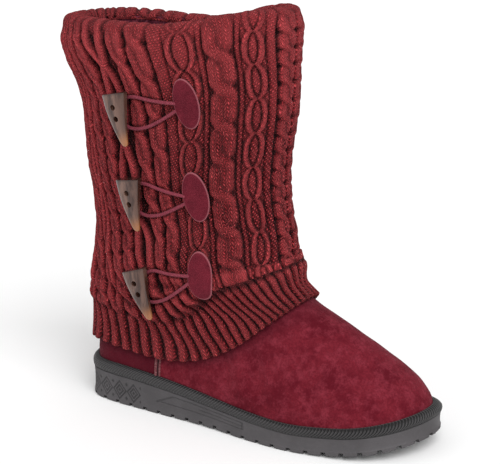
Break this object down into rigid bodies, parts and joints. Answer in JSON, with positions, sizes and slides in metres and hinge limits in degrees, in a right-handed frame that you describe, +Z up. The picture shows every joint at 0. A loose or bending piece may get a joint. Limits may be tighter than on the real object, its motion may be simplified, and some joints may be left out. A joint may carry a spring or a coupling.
{
  "type": "boot",
  "caption": "Right pull-on ankle boot: suede foot on a moulded rubber sole, knitted cover over the open shaft, closed by cord loops on horn-shaped toggles.",
  "frame": {"origin": "on the floor under the middle of the heel, on the heel's flat underside", "axes": "+X towards the toe, +Y towards the inner (medial) side, +Z up"},
  "size_m": [0.3045, 0.1104, 0.3043],
  "materials": {
    "sole_rubber": "matt mid grey",
    "binding_fabric": "charcoal twill tape",
    "insole_fleece": "short dusty plum pile",
    "seam_tape": "matt piping",
    "suede": "wine red nap",
    "knit_yarn": "marled red wool",
    "patch_suede": "wine red nap",
    "elastic_cord": "matt rose cord",
    "toggle_horn": "polished grey-brown horn"
  },
  "bodies": {
    "root": {"outsole": "sole_rubber", "binding": "binding_fabric", "insole": "insole_fleece", "upper": "suede", "side_seam_lateral": "seam_tape", "side_seam_medial": "seam_tape", "knit_sleeve": "knit_yarn", "patch_1": "patch_suede", "patch_2": "patch_suede", "patch_3": "patch_suede", "loop_1": "elastic_cord", "loop_2": "elastic_cord", "loop_3": "elastic_cord", "toggle_1": "toggle_horn", "toggle_2": "toggle_horn", "toggle_3": "toggle_horn"}
  },
  "joints": []
}
